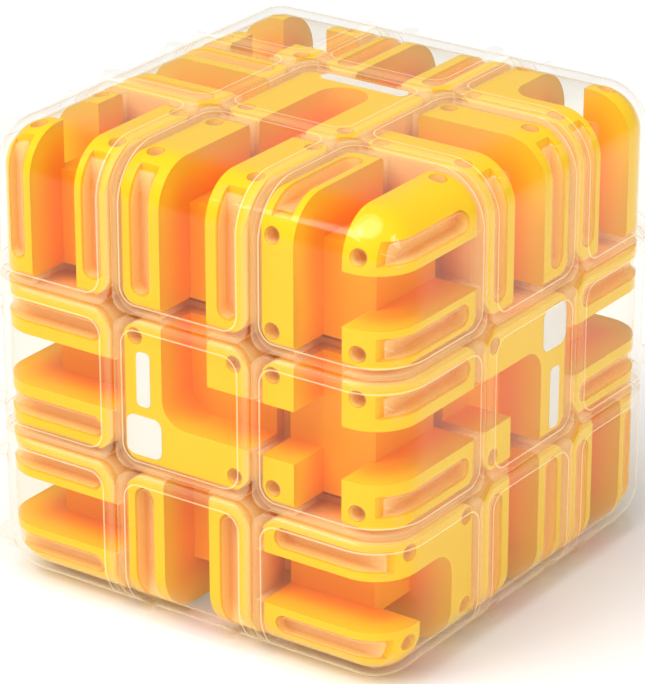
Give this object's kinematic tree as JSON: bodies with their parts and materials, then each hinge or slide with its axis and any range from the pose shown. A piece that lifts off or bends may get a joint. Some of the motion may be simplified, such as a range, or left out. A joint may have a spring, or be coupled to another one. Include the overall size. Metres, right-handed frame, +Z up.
{
  "type": "maze ball puzzle cube",
  "caption": "Twisting cube of clear-covered maze pieces on a sprung core, with face turns all round and a steel ball that rolls in the channels.",
  "frame": {"origin": "middle of the core, which is the middle of the cube", "axes": "+Z up to the top face, -Y to the front face, +X to the right face"},
  "size_m": [0.072, 0.072, 0.072],
  "materials": {
    "clear_cover": "clear polished plastic",
    "tray": "glossy yellow-orange plastic",
    "hardware": "plated steel",
    "ball": "polished"
  },
  "bodies": {
    "core": {"core": "tray", "centre_screws": "hardware", "centre_washers": "hardware", "centre_springs": "hardware"},
    "top_centre": {"top_centre_tray": "tray", "top_centre_cover": "clear_cover"},
    "bottom_centre": {"bottom_centre_tray": "tray", "bottom_centre_cover": "clear_cover"},
    "front_centre": {"front_centre_tray": "tray", "front_centre_cover": "clear_cover"},
    "back_centre": {"back_centre_tray": "tray", "back_centre_cover": "clear_cover"},
    "left_centre": {"left_centre_tray": "tray", "left_centre_cover": "clear_cover"},
    "right_centre": {"right_centre_tray": "tray", "right_centre_cover": "clear_cover"},
    "top_front_edge": {"top_front_edge_tray": "tray", "top_front_edge_cover": "clear_cover"},
    "top_back_edge": {"top_back_edge_tray": "tray", "top_back_edge_cover": "clear_cover"},
    "top_right_edge": {"top_right_edge_tray": "tray", "top_right_edge_cover": "clear_cover"},
    "top_left_edge": {"top_left_edge_tray": "tray", "top_left_edge_cover": "clear_cover"},
    "bottom_front_edge": {"bottom_front_edge_tray": "tray", "bottom_front_edge_cover": "clear_cover"},
    "bottom_back_edge": {"bottom_back_edge_tray": "tray", "bottom_back_edge_cover": "clear_cover"},
    "bottom_right_edge": {"bottom_right_edge_tray": "tray", "bottom_right_edge_cover": "clear_cover"},
    "bottom_left_edge": {"bottom_left_edge_tray": "tray", "bottom_left_edge_cover": "clear_cover"},
    "front_right_edge": {"front_right_edge_tray": "tray", "front_right_edge_cover": "clear_cover"},
    "front_left_edge": {"front_left_edge_tray": "tray", "front_left_edge_cover": "clear_cover"},
    "back_right_edge": {"back_right_edge_tray": "tray", "back_right_edge_cover": "clear_cover"},
    "back_left_edge": {"back_left_edge_tray": "tray", "back_left_edge_cover": "clear_cover"},
    "top_front_right_corner": {"top_front_right_corner_tray": "tray", "top_front_right_corner_cover": "clear_cover"},
    "top_front_left_corner": {"top_front_left_corner_tray": "tray", "top_front_left_corner_cover": "clear_cover"},
    "top_back_right_corner": {"top_back_right_corner_tray": "tray", "top_back_right_corner_cover": "clear_cover"},
    "top_back_left_corner": {"top_back_left_corner_tray": "tray", "top_back_left_corner_cover": "clear_cover"},
    "bottom_front_right_corner": {"bottom_front_right_corner_tray": "tray", "bottom_front_right_corner_cover": "clear_cover"},
    "bottom_front_left_corner": {"bottom_front_left_corner_tray": "tray", "bottom_front_left_corner_cover": "clear_cover"},
    "bottom_back_right_corner": {"bottom_back_right_corner_tray": "tray", "bottom_back_right_corner_cover": "clear_cover"},
    "bottom_back_left_corner": {"bottom_back_left_corner_tray": "tray", "bottom_back_left_corner_cover": "clear_cover"},
    "ball": {"steel_ball": "ball"}
  },
  "joints": [
    {"name": "top_turn", "type": "hinge", "parent": "core", "child": "top_centre", "pos_m": [0, 0, 0], "axis": [0, 0, 1], "continuous": true},
    {"name": "bottom_turn", "type": "hinge", "parent": "core", "child": "bottom_centre", "pos_m": [0, 0, 0], "axis": [0, 0, -1], "continuous": true},
    {"name": "front_turn", "type": "hinge", "parent": "core", "child": "front_centre", "pos_m": [0, 0, 0], "axis": [0, -1, 0], "continuous": true},
    {"name": "back_turn", "type": "hinge", "parent": "core", "child": "back_centre", "pos_m": [0, 0, 0], "axis": [0, 1, 0], "continuous": true},
    {"name": "left_turn", "type": "hinge", "parent": "core", "child": "left_centre", "pos_m": [0, 0, 0], "axis": [-1, 0, 0], "continuous": true},
    {"name": "right_turn", "type": "hinge", "parent": "core", "child": "right_centre", "pos_m": [0, 0, 0], "axis": [1, 0, 0], "continuous": true},
    {"name": "top_front_edge_with_front", "type": "hinge", "parent": "top_centre", "child": "top_front_edge", "pos_m": [0, 0, 0], "axis": [0, -1, 0], "continuous": true},
    {"name": "top_back_edge_with_back", "type": "hinge", "parent": "top_centre", "child": "top_back_edge", "pos_m": [0, 0, 0], "axis": [0, 1, 0], "continuous": true},
    {"name": "top_right_edge_with_right", "type": "hinge", "parent": "top_centre", "child": "top_right_edge", "pos_m": [0, 0, 0], "axis": [1, 0, 0], "continuous": true},
    {"name": "top_left_edge_with_left", "type": "hinge", "parent": "top_centre", "child": "top_left_edge", "pos_m": [0, 0, 0], "axis": [-1, 0, 0], "continuous": true},
    {"name": "bottom_front_edge_with_bottom", "type": "hinge", "parent": "front_centre", "child": "bottom_front_edge", "pos_m": [0, 0, 0], "axis": [0, 0, -1], "continuous": true},
    {"name": "bottom_back_edge_with_bottom", "type": "hinge", "parent": "back_centre", "child": "bottom_back_edge", "pos_m": [0, 0, 0], "axis": [0, 0, -1], "continuous": true},
    {"name": "bottom_right_edge_with_bottom", "type": "hinge", "parent": "right_centre", "child": "bottom_right_edge", "pos_m": [0, 0, 0], "axis": [0, 0, -1], "continuous": true},
    {"name": "bottom_left_edge_with_bottom", "type": "hinge", "parent": "left_centre", "child": "bottom_left_edge", "pos_m": [0, 0, 0], "axis": [0, 0, -1], "continuous": true},
    {"name": "front_right_edge_with_right", "type": "hinge", "parent": "front_centre", "child": "front_right_edge", "pos_m": [0, 0, 0], "axis": [1, 0, 0], "continuous": true},
    {"name": "front_left_edge_with_front", "type": "hinge", "parent": "left_centre", "child": "front_left_edge", "pos_m": [0, 0, 0], "axis": [0, -1, 0], "continuous": true},
    {"name": "back_right_edge_with_back", "type": "hinge", "parent": "right_centre", "child": "back_right_edge", "pos_m": [0, 0, 0], "axis": [0, 1, 0], "continuous": true},
    {"name": "back_left_edge_with_left", "type": "hinge", "parent": "back_centre", "child": "back_left_edge", "pos_m": [0, 0, 0], "axis": [-1, 0, 0], "continuous": true},
    {"name": "top_front_right_corner_with_front", "type": "hinge", "parent": "top_right_edge", "child": "top_front_right_corner", "pos_m": [0, 0, 0], "axis": [0, -1, 0], "continuous": true},
    {"name": "top_front_left_corner_with_front", "type": "hinge", "parent": "top_left_edge", "child": "top_front_left_corner", "pos_m": [0, 0, 0], "axis": [0, -1, 0], "continuous": true},
    {"name": "top_back_right_corner_with_back", "type": "hinge", "parent": "top_right_edge", "child": "top_back_right_corner", "pos_m": [0, 0, 0], "axis": [0, 1, 0], "continuous": true},
    {"name": "top_back_left_corner_with_top", "type": "hinge", "parent": "back_left_edge", "child": "top_back_left_corner", "pos_m": [0, 0, 0], "axis": [0, 0, 1], "continuous": true},
    {"name": "bottom_front_right_corner_with_front", "type": "hinge", "parent": "bottom_right_edge", "child": "bottom_front_right_corner", "pos_m": [0, 0, 0], "axis": [0, -1, 0], "continuous": true},
    {"name": "bottom_front_left_corner_with_front", "type": "hinge", "parent": "bottom_left_edge", "child": "bottom_front_left_corner", "pos_m": [0, 0, 0], "axis": [0, -1, 0], "continuous": true},
    {"name": "bottom_back_right_corner_with_bottom", "type": "hinge", "parent": "back_right_edge", "child": "bottom_back_right_corner", "pos_m": [0, 0, 0], "axis": [0, 0, -1], "continuous": true},
    {"name": "bottom_back_left_corner_with_back", "type": "hinge", "parent": "bottom_left_edge", "child": "bottom_back_left_corner", "pos_m": [0, 0, 0], "axis": [0, 1, 0], "continuous": true},
    {"name": "ball_roll", "type": "slide", "parent": "back_centre", "child": "ball", "axis": [1, 0, 0], "range_m": [-0.0085, 0.0085]}
  ],
  "couplings": [
    {"joint": "top_front_edge_with_front", "follows": "front_turn", "ratio": 1},
    {"joint": "top_back_edge_with_back", "follows": "back_turn", "ratio": 1},
    {"joint": "top_right_edge_with_right", "follows": "right_turn", "ratio": 1},
    {"joint": "top_left_edge_with_left", "follows": "left_turn", "ratio": 1},
    {"joint": "bottom_front_edge_with_bottom", "follows": "bottom_turn", "ratio": 1},
    {"joint": "bottom_back_edge_with_bottom", "follows": "bottom_turn", "ratio": 1},
    {"joint": "bottom_right_edge_with_bottom", "follows": "bottom_turn", "ratio": 1},
    {"joint": "bottom_left_edge_with_bottom", "follows": "bottom_turn", "ratio": 1},
    {"joint": "front_right_edge_with_right", "follows": "right_turn", "ratio": 1},
    {"joint": "front_left_edge_with_front", "follows": "front_turn", "ratio": 1},
    {"joint": "back_right_edge_with_back", "follows": "back_turn", "ratio": 1},
    {"joint": "back_left_edge_with_left", "follows": "left_turn", "ratio": 1},
    {"joint": "top_front_right_corner_with_front", "follows": "front_turn", "ratio": 1},
    {"joint": "top_front_left_corner_with_front", "follows": "front_turn", "ratio": 1},
    {"joint": "top_back_right_corner_with_back", "follows": "back_turn", "ratio": 1},
    {"joint": "top_back_left_corner_with_top", "follows": "top_turn", "ratio": 1},
    {"joint": "bottom_front_right_corner_with_front", "follows": "front_turn", "ratio": 1},
    {"joint": "bottom_front_left_corner_with_front", "follows": "front_turn", "ratio": 1},
    {"joint": "bottom_back_right_corner_with_bottom", "follows": "bottom_turn", "ratio": 1},
    {"joint": "bottom_back_left_corner_with_back", "follows": "back_turn", "ratio": 1}
  ]
}
